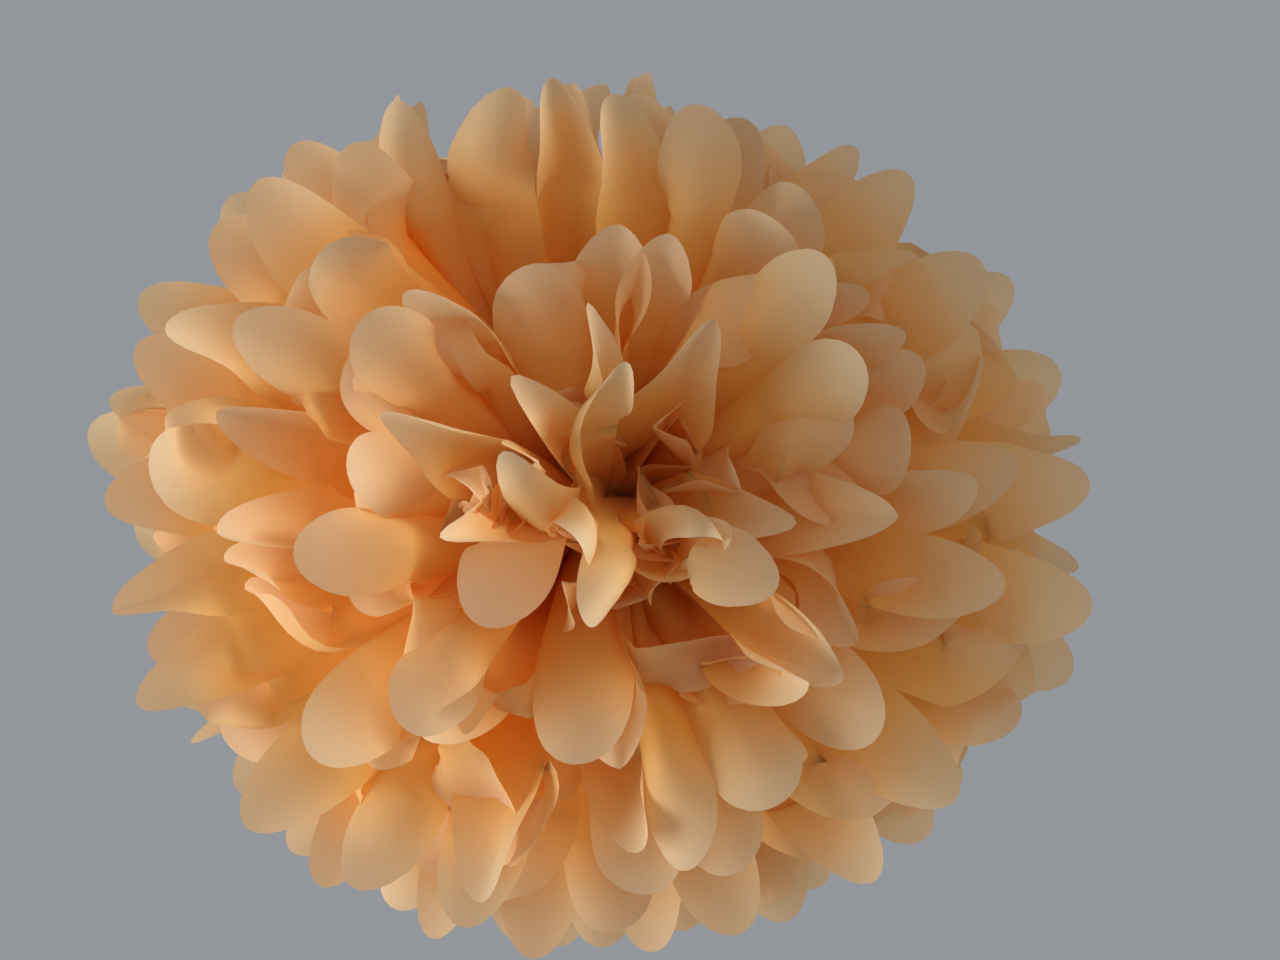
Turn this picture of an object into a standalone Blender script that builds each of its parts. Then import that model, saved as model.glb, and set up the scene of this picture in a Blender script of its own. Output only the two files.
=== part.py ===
"""A tissue paper pom pom, modelled the way it is made.

Ten sheets of tissue are pleated together, tied round the middle with wire and cut round at both ends.
Each sheet is then opened out and leaned over: five down and five up, so that the ends make a ball.
+X runs along the pleats of the folded stack, +Z is up, and the origin is where the hanging line
bears in the wire's eye. Sizes are in metres.
"""

import math

import bmesh
import bpy
from mathutils import Vector

# Colours as seen in daylight
PEACH = (0.80, 0.40, 0.16)
STEEL = (0.62, 0.62, 0.60)

# Points nearer than this are one point
SAME_PLACE = 0.00001

# The paper, cut and pleated flat
SHEETS_A_SIDE = 5
SHEET_LENGTH = 0.508
SHEET_WIDTH = 0.762
PLEATS = 16
PAPER = 0.00004
TIP_DEPTH = 0.056
TIP_ROUNDNESS = 2.4
TIP_STEPS = (0.44, 0.78, 0.95, 1.0)

# The neck, where the wire gathers every sheet
NECK_WIDTH = 0.010
NECK_LENGTH = 0.006
NECK_GAP = 0.0005

# How the sheets open
FAN = math.radians(182)
POLE_LEAN = math.radians(80)
EQUATOR_LEAN = math.radians(8)
DROOP = math.radians(12)
BULGE = math.radians(24)
SHARPEST_FOLD = math.radians(11)
PLEAT_OPENING = 0.026
# An inner fold stands no steeper than this near the neck, and plumb at most at its sheet's end.
STEEPEST_FOLD = math.radians(76)
# Tissue that crumples up beside the neck where a fold turns right away from the stack's direction
CRUMPLED = 0.045
CRUMPLE_LENGTH = 0.100

# The tie wire
WIRE = 0.0008
WIRE_GAP = 0.0003
STEM = 0.024
STEM_TURNS = 3
EYE_BORE = 0.005
EYE_MOUTH = math.radians(60)
TAIL = 0.004
TAIL_RISE = 0.0015
STRAND_STEPS = 8
LOOP_STEPS = 24

HALF_LENGTH = SHEET_LENGTH / 2
PLEAT_WIDTH = SHEET_WIDTH / PLEATS
NOTCH = HALF_LENGTH - TIP_DEPTH
NECK_PITCH = PAPER + NECK_GAP
NECK_HEIGHT = 2 * SHEETS_A_SIDE * NECK_PITCH
STRAND_RADIUS = WIRE / 2 + WIRE_GAP
STEM_FOOT = NECK_HEIGHT / 2 + WIRE_GAP + 2 * WIRE
STEM_TOP = STEM_FOOT + STEM
EYE_RADIUS = (EYE_BORE + WIRE) / 2
EYE_START = -math.pi / 2 + EYE_MOUTH / 4
# The line bears on the inside of the eye's top, which is the origin.
TIE = Vector((0.0, 0.0, -(STEM_TOP + EYE_RADIUS + EYE_BORE / 2)))


def smooth(value):
    """0 below 0, 1 above 1, and an even S between."""
    value = min(1.0, max(0.0, value))
    return value * value * (3 - 2 * value)


def clear_scene():
    for thing in list(bpy.data.objects):
        bpy.data.objects.remove(thing)


def material(name, colour, roughness, metallic=0.0):
    made = bpy.data.materials.new(name)
    made.use_nodes = True
    shader = made.node_tree.nodes["Principled BSDF"]
    shader.inputs["Base Color"].default_value = (*colour, 1.0)
    shader.inputs["Roughness"].default_value = roughness
    shader.inputs["Metallic"].default_value = metallic
    return made


def tip_share(depth):
    """Half the width of a petal end, as a share of half a pleat, at a share of the rounded cut's depth."""
    return math.sqrt(max(0.0, 1 - depth**TIP_ROUNDNESS))


def flat_sheet():
    """The opened sheet before folding: one column of faces for each pleat, and a rounded end on each."""
    neck = NECK_LENGTH / 2
    opened = neck + PLEAT_OPENING
    third = (NOTCH - opened) / 3
    row_places = [0.0, neck, neck + PLEAT_OPENING / 2, opened, opened + third, NOTCH - third, NOTCH]
    rows_a_side = len(row_places) - 1
    mesh = bmesh.new()
    bmesh.ops.create_grid(mesh, x_segments=PLEATS, y_segments=2 * rows_a_side, size=1.0)
    for vertex in mesh.verts:
        row = round(vertex.co.y * rows_a_side)
        vertex.co.x *= SHEET_WIDTH / 2
        vertex.co.y = math.copysign(row_places[abs(row)], row)
    for end in (-1, 1):
        edges = [e for e in mesh.edges if all(abs(v.co.y - end * NOTCH) < SAME_PLACE for v in e.verts)]
        for edge in edges:
            round_off(mesh, edge, end)
    bmesh.ops.remove_doubles(mesh, verts=mesh.verts, dist=SAME_PLACE)
    return mesh


def round_off(mesh, edge, end):
    """Adds the rounded petal end of one pleat to the end edge of its column."""
    middle = sum(v.co.x for v in edge.verts) / 2
    for depth in TIP_STEPS:
        made = bmesh.ops.extrude_edge_only(mesh, edges=[edge])["geom"]
        edge = next(g for g in made if isinstance(g, bmesh.types.BMEdge) and all(v in made for v in g.verts))
        for vertex in edge.verts:
            side = math.copysign(PLEAT_WIDTH / 2, vertex.co.x - middle)
            vertex.co.x = middle + side * tip_share(depth)
            vertex.co.y = end * (NOTCH + TIP_DEPTH * depth)


def fold_point(fold, along, end, lean, level):
    """Where a point of one fold line lies once the sheet is gathered, fanned and leaned.

    fold counts from one edge of the sheet, along is the distance from the sheet's middle, end is the
    half it lies on, lean is the sheet's slope and level its place in the neck.
    """
    across = 2 * fold / PLEATS - 1
    bearing = across * FAN / 2
    straight = min(along, NECK_LENGTH / 2)
    loosened = straight / (NECK_LENGTH / 2)
    # The wire draws the stack in to a round waist, and each sheet then turns away outside the steeper
    # one over it, by the height between them.
    waist = NECK_WIDTH / 2 * math.sqrt(1 - (2 * level / NECK_HEIGHT) ** 2)
    half_width = waist + (NECK_WIDTH / 2 - waist) * loosened
    flare = (NECK_HEIGHT / 2 - abs(level)) * loosened
    root = TIE + Vector((
        end * (straight + flare * math.cos(bearing)),
        across * half_width + flare * math.sin(bearing),
        level,
    ))
    out = along - straight
    if out <= 0:
        return root
    share = out / HALF_LENGTH
    bulge = math.copysign(BULGE * math.cos(lean) * math.sin(bearing) ** 2 * (1 - share), lean)
    slope = lean + bulge - DROOP * math.sin(lean) * share**2
    slope += pleat_angle(out, slope) * (-1) ** fold
    steepest = STEEPEST_FOLD + (math.pi / 2 - STEEPEST_FOLD) * share
    slope = math.copysign(min(abs(slope), steepest), slope)
    turned = 1 - (math.cos(lean) * math.cos(bearing)) ** 2
    reach = out - CRUMPLED * turned * smooth(out / CRUMPLE_LENGTH)
    level_reach = reach * math.cos(slope)
    return root + Vector((
        end * level_reach * math.cos(bearing),
        level_reach * math.sin(bearing),
        reach * math.sin(slope),
    ))


def pleat_angle(out, slope):
    """How far a fold stands above or below its sheet's slope, at a distance from the neck."""
    chord = 2 * out * math.cos(slope) * math.sin(FAN / PLEATS / 2)
    steepest = chord / 2 / math.tan(SHARPEST_FOLD / 2)
    depth = min(math.sqrt(max(0.0, PLEAT_WIDTH**2 - chord**2)), steepest)
    return math.asin(min(1.0, depth / 2 / out)) * smooth(out / PLEAT_OPENING)


def fold_up(mesh, lean, level):
    """Moves each vertex of the flat sheet to its place in the opened pom pom."""
    for vertex in mesh.verts:
        end = -1 if vertex.co.y < 0 else 1
        along = abs(vertex.co.y)
        columns = vertex.co.x / PLEAT_WIDTH + PLEATS / 2
        fold = min(PLEATS - 1, math.floor(columns + SAME_PLACE / PLEAT_WIDTH))
        near = fold_point(fold, along, end, lean, level)
        far = fold_point(fold + 1, along, end, lean, level)
        vertex.co = near.lerp(far, columns - fold)


def tissue_sheet(name, lean, level, finish, collection):
    mesh = flat_sheet()
    fold_up(mesh, lean, level)
    # Both sides of the paper bend along the same lines, so they stay its thickness apart.
    bmesh.ops.triangulate(mesh, faces=mesh.faces, quad_method="SHORT_EDGE")
    bmesh.ops.recalc_face_normals(mesh, faces=mesh.faces)
    data = bpy.data.meshes.new(name)
    mesh.to_mesh(data)
    mesh.free()
    data.materials.append(finish)
    made = bpy.data.objects.new(name, data)
    collection.objects.link(made)
    wall = made.modifiers.new("paper", "SOLIDIFY")
    wall.thickness = PAPER
    wall.offset = 0
    wall.solidify_mode = "NON_MANIFOLD"
    wall.nonmanifold_thickness_mode = "CONSTRAINTS"
    return made


def arc(centre_z, half_width, half_height, start, end, steps):
    """Points along an upright ellipse across the stack, as offsets from the tie."""
    angles = [start + (end - start) * i / steps for i in range(steps + 1)]
    return [Vector((0, half_width * math.cos(a), centre_z + half_height * math.sin(a))) for a in angles]


def neck_loop(opening):
    """The wire's single turn round the gathered sheets, open at its top by the width given."""
    clear = WIRE_GAP + WIRE / 2
    half_width = NECK_WIDTH / 2 + clear
    half_open = math.asin(opening / 2 / half_width)
    start = math.pi / 2 + half_open
    return arc(0, half_width, NECK_HEIGHT / 2 + clear, start, start + 2 * math.pi - 2 * half_open, LOOP_STEPS)


def wire_strand(start):
    """One of the two twisted strands of the stem, from the neck up."""
    steps = STRAND_STEPS * STEM_TURNS
    route = []
    for i in range(steps + 1):
        turned = start + 2 * math.pi * STEM_TURNS * i / steps
        height = STEM_FOOT + (STEM_TOP - STEM_FOOT) * i / steps
        route.append(Vector((STRAND_RADIUS * math.sin(turned), STRAND_RADIUS * math.cos(turned), height)))
    return route


def wire_route():
    """The tie wire's centreline: tail, one strand down, round the neck, the other strand up, and the eye."""
    down = wire_strand(math.pi)[::-1]
    tail = [down[0] + Vector((-TAIL, 0, TAIL_RISE)) * share for share in (1.0, 0.5)]
    loop = neck_loop(2 * (STRAND_RADIUS + WIRE))
    eye_end = EYE_START + 2 * math.pi - EYE_MOUTH
    # The top of the stem stands in for the eye's first point, which is too close to it for the wire.
    eye = arc(STEM_TOP + EYE_RADIUS, EYE_RADIUS, EYE_RADIUS, EYE_START, eye_end, LOOP_STEPS)[1:]
    return [TIE + p for p in tail + down + loop + wire_strand(0.0) + eye]


def tie_wire(name, finish, collection):
    data = bpy.data.curves.new(name, "CURVE")
    data.dimensions = "3D"
    data.bevel_depth = WIRE / 2
    data.bevel_resolution = 2
    data.use_fill_caps = True
    route = wire_route()
    spline = data.splines.new("POLY")
    spline.points.add(len(route) - 1)
    for point, place in zip(spline.points, route):
        point.co = (*place, 1.0)
    data.materials.append(finish)
    made = bpy.data.objects.new(name, data)
    collection.objects.link(made)
    return made


def main():
    clear_scene()
    collection = bpy.data.collections.new("tissue_pom_pom")
    bpy.context.scene.collection.children.link(collection)
    tissue = material("peach_tissue", PEACH, roughness=0.85)
    steel = material("tie_wire", STEEL, roughness=0.35, metallic=1.0)
    spacing = (POLE_LEAN - EQUATOR_LEAN) / (SHEETS_A_SIDE - 1)
    for half, word in ((-1, "lower"), (1, "upper")):
        for i in range(SHEETS_A_SIDE):
            lean = half * (EQUATOR_LEAN + spacing * i)
            level = half * NECK_PITCH * (i + 0.5)
            tissue_sheet(f"{word}_sheet_{SHEETS_A_SIDE - i}", lean, level, tissue, collection)
    tie_wire("tie_wire", steel, collection)


main()
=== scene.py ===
"""The looks of a tissue paper pom pom: ten sheets of peach tissue and the wire that ties them.

Every sheet is one piece of paper. It is pleated, gathered at the neck, opened out and leaned over as in
the CAD model, and then each of its petals is bent, turned and cupped by itself. The petals that the
photograph shows plainly are aimed at the pixels where their tips lie.
"""

import logging
import math
import random
from dataclasses import dataclass, field
from enum import Enum
from typing import Any, Iterator

import bmesh
import bpy
from mathutils import Matrix, Quaternion, Vector, noise


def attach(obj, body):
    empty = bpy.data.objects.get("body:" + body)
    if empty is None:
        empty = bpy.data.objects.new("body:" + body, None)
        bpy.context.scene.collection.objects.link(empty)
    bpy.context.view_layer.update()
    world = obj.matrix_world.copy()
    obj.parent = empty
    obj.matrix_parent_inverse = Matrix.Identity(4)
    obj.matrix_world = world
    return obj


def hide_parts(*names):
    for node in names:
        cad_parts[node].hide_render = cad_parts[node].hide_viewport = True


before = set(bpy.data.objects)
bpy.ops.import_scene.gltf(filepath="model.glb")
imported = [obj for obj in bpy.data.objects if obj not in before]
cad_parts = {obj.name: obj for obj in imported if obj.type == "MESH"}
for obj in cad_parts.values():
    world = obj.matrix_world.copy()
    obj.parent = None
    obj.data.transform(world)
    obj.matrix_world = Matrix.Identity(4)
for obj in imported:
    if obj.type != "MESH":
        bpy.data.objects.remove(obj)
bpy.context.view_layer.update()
LOG = logging.getLogger("pom_pom")

SAME_PLACE = 0.00001

Pixel = tuple[float, float]
Colour = tuple[float, float, float]
Place = tuple[float, float, float]


class Side(Enum):
    """Which way a sheet is opened from the tie."""

    LOWER = -1
    UPPER = 1


def smooth(value: float) -> float:
    """0 below 0, 1 above 1, and an even S between."""
    value = min(1.0, max(0.0, value))
    return value * value * (3 - 2 * value)


def make_piece(name: str, mesh: bmesh.types.BMesh, finish: bpy.types.Material) -> bpy.types.Object:
    """Turns a mesh into a piece of the scene.

    Args:
        name: the piece's name.
        mesh: its shape, which is freed.
        finish: its material.

    Returns:
        The piece.
    """
    data = bpy.data.meshes.new(name)
    mesh.to_mesh(data)
    mesh.free()
    data.materials.append(finish)
    piece = bpy.data.objects.new(name, data)
    bpy.context.scene.collection.objects.link(piece)
    return piece


def add_node(
    tree: bpy.types.NodeTree, kind: str, inputs: dict[str | int, Any] | None = None, **settings: Any
) -> bpy.types.Node:
    """Adds a node to a material.

    Args:
        tree: the material's nodes.
        kind: the node's type, without the words that every type starts with.
        inputs: what goes into it by name or number: a value, or another node's output.
        **settings: its other settings.

    Returns:
        The node.
    """
    node = tree.nodes.new("ShaderNode" + kind)
    for name, value in settings.items():
        setattr(node, name, value)
    for name, value in (inputs or {}).items():
        if isinstance(value, bpy.types.NodeSocket):
            tree.links.new(value, node.inputs[name])
        else:
            node.inputs[name].default_value = value
    return node


def grain(
    tree: bpy.types.NodeTree, place: bpy.types.NodeSocket, scale: float, detail: float
) -> bpy.types.NodeSocket:
    """Adds a noise at a scale, in features to the metre."""
    noisy = add_node(tree, "TexNoise", {"Vector": place, "Scale": scale, "Detail": detail})
    return noisy.outputs["Fac"]


@dataclass(frozen=True)
class Petal:
    """A petal that the photograph shows.

    Attributes:
        tip: the pixel of its tip.
        slope: how steeply its end points at the camera's side, in degrees: 0 is level, 90 is plumb.
        roll: how far it is turned on its own axis away from facing the camera, in degrees.
        spread: the share of its width that is left across it when it is cupped.
        cup: 1 where its edges come forward, -1 where they go back.
        crease: 0 for a round cup, 1 for a sharp fold along its middle.
        roundness: how blunt its end is cut.
        root: the pixel where it leaves its notches, for one that bends over near the pole. Its slope then
            comes from the two pixels.
    """

    tip: Pixel
    slope: float = 0.0
    roll: float = 0.0
    spread: float = 0.97
    cup: int = 1
    crease: float = 0.0
    roundness: float = 2.4
    root: Pixel | None = None


@dataclass(frozen=True)
class PhotoCamera:
    """The camera, which looks up at the ball from almost straight below it.

    Attributes:
        side: the side of the ball that it sees. The camera of the upper side mirrors the photograph's, and
            only places the petals that the photograph doesn't show.
    """

    side: Side = Side.LOWER
    distance: float = 1.15
    focal: float = 2380.0
    sensor: float = 36.0
    frame_size: tuple[int, int] = (1280, 960)
    tilt: float = math.radians(3.5)
    ball_pixel: Pixel = (595.0, 513.0)
    ball_height: float = -0.034

    @property
    def forward(self) -> Vector:
        """The direction it looks in."""
        return Vector((0.0, -math.sin(self.tilt), -self.side.value * math.cos(self.tilt)))

    @property
    def right(self) -> Vector:
        """The direction that is right in the picture."""
        return Vector((1.0, 0.0, 0.0))

    @property
    def down(self) -> Vector:
        """The direction that is down in the picture."""
        return -self.side.value * self.forward.cross(self.right)

    @property
    def position(self) -> Vector:
        """Where it stands."""
        across = self.frame_size[0] / 2 - self.ball_pixel[0]
        down = self.frame_size[1] / 2 - self.ball_pixel[1]
        metres = self.distance / self.focal
        ball = Vector((0.0, 0.0, self.ball_height))
        return ball - self.distance * self.forward + metres * (across * self.right + down * self.down)

    def miss(self, point: Vector, pixel: Pixel) -> Vector:
        """How far a point would have to move, across the view, to show at a pixel.

        Args:
            point: a place in the world.
            pixel: the pixel where it should show.

        Returns:
            The move, in metres.
        """
        offset = point - self.position
        depth = offset.dot(self.forward)
        metres = depth / self.focal
        across = (pixel[0] - self.frame_size[0] / 2) * metres - offset.dot(self.right)
        down = (pixel[1] - self.frame_size[1] / 2) * metres - offset.dot(self.down)
        return across * self.right + down * self.down

    def build(self) -> bpy.types.Object:
        """Makes the camera and hands it to the scene.

        Returns:
            The camera object.
        """
        data = bpy.data.cameras.new("camera")
        data.sensor_width = self.sensor
        data.lens = self.focal * self.sensor / self.frame_size[0]
        data.clip_start = 0.01
        camera = bpy.data.objects.new("camera", data)
        camera.matrix_world = Matrix.Translation(self.position) @ Matrix.Rotation(math.pi + self.tilt, 4, "X")
        bpy.context.scene.collection.objects.link(camera)
        bpy.context.scene.camera = camera
        return camera


@dataclass(frozen=True)
class Pleating:
    """The sizes of the cut, pleated and gathered sheets, as the CAD model has them."""

    sheets_a_side: int = 5
    length: float = 0.508
    width: float = 0.762
    pleats: int = 16
    paper: float = 0.00004
    tip_depth: float = 0.056
    neck_width: float = 0.010
    neck_length: float = 0.006
    neck_gap: float = 0.0005
    fan: float = math.radians(182)
    pole_lean: float = math.radians(80)
    equator_lean: float = math.radians(8)
    droop: float = math.radians(12)
    bulge: float = math.radians(24)
    sharpest_fold: float = math.radians(5)
    pleat_opening: float = 0.026
    crumpled: float = 0.045
    crumple_length: float = 0.100
    tie: Vector = field(default_factory=lambda: Vector((0.0, 0.0, -0.034)))
    cut_area: float = 0.3708

    @property
    def half_length(self) -> float:
        """From the sheet's middle to its end."""
        return self.length / 2

    @property
    def pleat_width(self) -> float:
        """The paper between two folds."""
        return self.width / self.pleats

    @property
    def notch(self) -> float:
        """From the sheet's middle to the bottom of the cut between two petals."""
        return self.half_length - self.tip_depth

    @property
    def neck_pitch(self) -> float:
        """From one sheet to the next in the neck."""
        return self.paper + self.neck_gap

    @property
    def neck_height(self) -> float:
        """The height of the whole stack in the neck."""
        return 2 * self.sheets_a_side * self.neck_pitch

    def lean(self, number: int, side: Side) -> float:
        """The slope of a sheet: number 1 is at the pole and the last one at the equator."""
        spacing = (self.pole_lean - self.equator_lean) / (self.sheets_a_side - 1)
        return side.value * (self.equator_lean + spacing * (self.sheets_a_side - number))

    def level(self, number: int, side: Side) -> float:
        """The height of a sheet's neck above the tie."""
        return side.value * self.neck_pitch * (self.sheets_a_side - number + 0.5)

    def root(self, bearing: float, along: float, end: int, level: float) -> Vector:
        """Where a fold leaves the gathered neck.

        Args:
            bearing: the fold's direction in the fan.
            along: the distance from the sheet's middle.
            end: 1 or -1, the half of the sheet.
            level: the height of the sheet's neck.

        Returns:
            The point, in the row frame.
        """
        across = bearing / (self.fan / 2)
        straight = min(along, self.neck_length / 2)
        loosened = straight / (self.neck_length / 2)
        waist = self.neck_width / 2 * math.sqrt(1 - (2 * level / self.neck_height) ** 2)
        half_width = waist + (self.neck_width / 2 - waist) * loosened
        flare = (self.neck_height / 2 - abs(level)) * loosened
        return self.tie + Vector((
            end * (straight + flare * math.cos(bearing)),
            across * half_width + flare * math.sin(bearing),
            level,
        ))

    def slope(self, bearing: float, out: float, lean: float) -> float:
        """The slope of a sheet at a distance from the neck, without its pleats."""
        share = out / self.half_length
        bulge = self.bulge * math.cos(lean) * math.sin(bearing) ** 2 * (1 - share)
        return lean + math.copysign(bulge, lean) - self.droop * math.sin(lean) * share**2

    def pleat_angle(self, out: float, slope: float) -> float:
        """How far a fold stands above or below its sheet's slope, at a distance from the neck."""
        chord = 2 * out * math.cos(slope) * math.sin(self.fan / self.pleats / 2)
        steepest = chord / 2 / math.tan(self.sharpest_fold / 2)
        depth = min(math.sqrt(max(0.0, self.pleat_width**2 - chord**2)), steepest)
        return math.asin(min(1.0, depth / 2 / out)) * smooth(out / self.pleat_opening)

    def reach(self, bearing: float, out: float, lean: float) -> float:
        """How far from the neck the paper gets, for what crumples up beside the neck."""
        turned = 1 - (math.cos(lean) * math.cos(bearing)) ** 2
        return out - self.crumpled * turned * smooth(out / self.crumple_length)

    @staticmethod
    def heading(bearing: float, slope: float, end: int) -> Vector:
        """The unit direction of a bearing and a slope in one half of a sheet."""
        level = math.cos(slope)
        return Vector((end * level * math.cos(bearing), level * math.sin(bearing), math.sin(slope)))

    def fold_point(self, fold: int, along: float, end: int, lean: float, level: float) -> Vector:
        """Where a point of one fold lies in the CAD model.

        Args:
            fold: the fold's number from one edge of the sheet.
            along: the distance from the sheet's middle.
            end: 1 or -1, the half of the sheet.
            lean: the sheet's slope.
            level: the height of the sheet's neck.

        Returns:
            The point, in the row frame.
        """
        bearing = (2 * fold / self.pleats - 1) * self.fan / 2
        root = self.root(bearing, along, end, level)
        out = along - self.neck_length / 2
        if out <= 0:
            return root
        slope = self.slope(bearing, out, lean)
        slope += self.pleat_angle(out, slope) * (-1) ** fold
        return root + self.reach(bearing, out, lean) * self.heading(bearing, slope, end)


PLEATING = Pleating()
CAMERA = PhotoCamera()
MIRRORED_CAMERA = PhotoCamera(Side.UPPER)


@dataclass
class PetalShape:
    """How one petal of a sheet lies, after its aim is settled.

    Attributes:
        bearing: the direction of its middle in the fan.
        heading: the direction from the neck to the middle of its notch.
        reach: the distance of its notch from the neck.
        tip_heading: the direction that its tip points in.
        roll: its turn on its own axis at the tip.
        spread: the share of its width that is left when it is cupped, at the tip.
        cup: 1 where its edges come outwards, -1 where they go in.
        crease: 0 for a round cup, 1 for a sharp fold.
        roundness: how blunt its end is cut.
        goal: the pixel of its tip, if it is one that the photograph shows.
    """

    bearing: float
    heading: Vector
    reach: float
    tip_heading: Vector
    roll: float
    spread: float
    cup: int
    crease: float
    roundness: float
    goal: Pixel | None = None

    @property
    def aimed(self) -> bool:
        """Whether it is one that the photograph shows."""
        return self.goal is not None

    @property
    def slope(self) -> float:
        """The slope of its middle at the notch."""
        return math.asin(self.heading.z)


@dataclass(frozen=True)
class PetalLine:
    """One place on the line that a petal follows beyond its notch.

    Attributes:
        middle: the place.
        along: the direction in which the petal goes on.
        across: the direction across it.
        outward: the side of the paper that faces away from the middle of the ball.
        spread: the share of its width that is left.
        cup: how its edges lie, as in a petal's shape.
        crease: how sharp its cup is, as in a petal's shape.
    """

    middle: Vector
    along: Vector
    across: Vector
    outward: Vector
    spread: float
    cup: float
    crease: float

    def between(self, other: "PetalLine", part: float) -> "PetalLine":
        """The place at a share of the way to another."""
        mixed = {}
        for name, value in vars(self).items():
            mixed[name] = value + (getattr(other, name) - value) * part
        return PetalLine(**mixed)


@dataclass
class HalfSheet:
    """One end of a sheet: sixteen pleats side by side, each with its petal."""

    number: int
    side: Side
    end: int
    petals: list[Petal]
    dice: random.Random
    camera: PhotoCamera
    pleating: Pleating = PLEATING
    curl_steps: int = 14
    bend_pace: float = 1.25
    settle_pace: float = 1.4

    # How the folds run from the neck to the notches
    late_pull: float = 0.85
    ripple: float = 0.030
    ripple_end: float = 0.140
    ripple_turn: float = 0.9
    steepest_ripple: float = 2.2
    slack_ripple: float = 2.8

    # How far a petal holds its folds apart at the notches, how much of its roll it has there, and how
    # hard a petal that isn't aimed pulls on its folds
    held_open: float = 0.96
    roll_at_notch: float = 0.7
    free_pull: float = 0.2

    # What the petals that aren't aimed do, from the pole's sheet to the equator's
    usual_tip: tuple[float, ...] = (0.95, 0.85, 0.80, 0.70, 0.60)
    tip_play: tuple[float, ...] = (6.0, 8.0, 8.0, 8.0, 8.0)
    tucked: tuple[float, ...] = (0.60, 0.80, 0.84, 0.92, 0.94)
    neighbours: float = 1.6
    own_will: float = 0.4

    # How much an aimed petal turns on its own axis beyond what its line in the list says, in degrees
    roll_play: tuple[float, ...] = (0.0, 4.0, 8.0, 24.0, 28.0)
    least_open: float = 0.95
    slack_step: float = 0.04
    slack_steps: int = 7
    slack_cost: float = 0.35
    root_fall: float = 0.3

    # How an aim is found: the rounds, and the share of the miss that each round takes away
    root_rounds: int = 40
    tip_rounds: int = 30
    turn_rounds: int = 24
    correction: float = 0.8
    turn_correction: float = 0.6
    unstretch_rounds: int = 60

    # How a petal that isn't aimed lies behind the aimed one beside it
    furthest_host: int = 2
    set_back: float = 0.016
    shortest: float = 0.7
    tautest: float = 0.98
    behind: float = 0.010
    beside: float = 0.004
    curve_pull: float = 1.2

    # How much the petals that aren't aimed vary: angles in degrees, the rest as they are
    bearing_play: float = 2.0
    slope_play: float = 2.5
    turn_play: float = 9.0
    free_roll: float = 14.0
    free_reach: tuple[float, float] = (0.97, 1.03)
    free_spread: tuple[float, float] = (0.7, 0.95)
    free_crease: tuple[float, float] = (0.4, 0.9)
    free_roundness: tuple[float, float] = (2.1, 2.8)

    # The petals of the pole's sheet that aren't aimed stand closed and point out of the pole
    closed_spread: tuple[float, float] = (0.35, 0.55)
    closed_crease: float = 0.85

    def __post_init__(self) -> None:
        """Works out the petals and the folds between them."""
        self.lean = self.pleating.lean(self.number, self.side)
        self.level = self.pleating.level(self.number, self.side)
        self.shapes = self.settle_petals()
        self.edges = self.notch_points()
        self.ripples = [self.rippling(k) for k in range(self.pleating.pleats + 1)]
        self.tongues: dict[int, list[PetalLine]] = {}
        for number in sorted(range(self.pleating.pleats), key=lambda k: not self.shapes[k].aimed):
            self.tongues[number] = self.tongue(number)

    @property
    def origin(self) -> Vector:
        """The middle of the sheet's neck."""
        return self.pleating.tie + Vector((0.0, 0.0, self.level))

    def reach(self, bearing: float, share: float) -> float:
        """A share of how far out the notches are at a bearing."""
        return self.pleating.reach(bearing, self.pleating.notch, self.lean) * share

    def usual_bearing(self, place: float) -> float:
        """The bearing of a place counted in pleats from the sheet's edge."""
        return (2 * place / self.pleating.pleats - 1) * self.pleating.fan / 2

    def settle_petals(self) -> list[PetalShape]:
        """Gives each pleat a petal: an aimed one where the photograph shows one, or else a free one.

        Returns:
            The petals in the order of their pleats.
        """
        aimed = sorted((self.aim(p) for p in self.petals), key=lambda s: s.bearing)
        taken: dict[int, PetalShape] = {}
        count, pleats = len(aimed), self.pleating.pleats
        last = -1
        for i, shape in enumerate(aimed):
            wanted = round((shape.bearing / (self.pleating.fan / 2) + 1) * pleats / 2 - 0.5)
            last = min(max(wanted, last + 1), pleats - count + i)
            taken[last] = shape
        return [taken.get(k) or self.free_petal(k, taken) for k in range(pleats)]

    def free_petal(self, place: int, taken: dict[int, PetalShape]) -> PetalShape:
        """A petal that isn't aimed: it follows its aimed neighbours and varies a little.

        Args:
            place: the pleat's number.
            taken: the aimed petals by pleat.

        Returns:
            The petal's shape.
        """
        dice, row = self.dice, self.number - 1
        bearing = self.usual_bearing(place + 0.5)
        out = self.pleating.notch
        slope = self.pleating.slope(bearing, out, self.lean)
        weights, turn, rise = self.own_will, 0.0, 0.0
        for other, shape in taken.items():
            weight = math.exp(-(((other - place) / self.neighbours) ** 2))
            usual = self.usual_bearing(other + 0.5)
            turn += weight * (shape.bearing - usual)
            rise += weight * (shape.slope - self.pleating.slope(usual, out, self.lean))
            weights += weight
        bearing += turn / weights + self.wobble(self.bearing_play)
        slope += rise / weights + self.wobble(self.slope_play)
        reach = self.reach(bearing, self.tucked[row]) * dice.uniform(*self.free_reach)
        tip_slope = slope * self.usual_tip[row] + self.wobble(self.tip_play[row])
        tip_bearing = bearing + self.wobble(self.turn_play)
        return PetalShape(
            bearing=bearing,
            heading=self.pleating.heading(bearing, slope, self.end),
            reach=reach,
            tip_heading=self.pleating.heading(tip_bearing, tip_slope, self.end),
            roll=self.wobble(self.free_roll),
            spread=dice.uniform(*self.free_spread),
            cup=1,
            crease=dice.uniform(*self.free_crease),
            roundness=dice.uniform(*self.free_roundness),
        )

    def wobble(self, most: float) -> float:
        """A random angle either way, in radians, from its most in degrees."""
        return math.radians(self.dice.uniform(-most, most))

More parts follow.
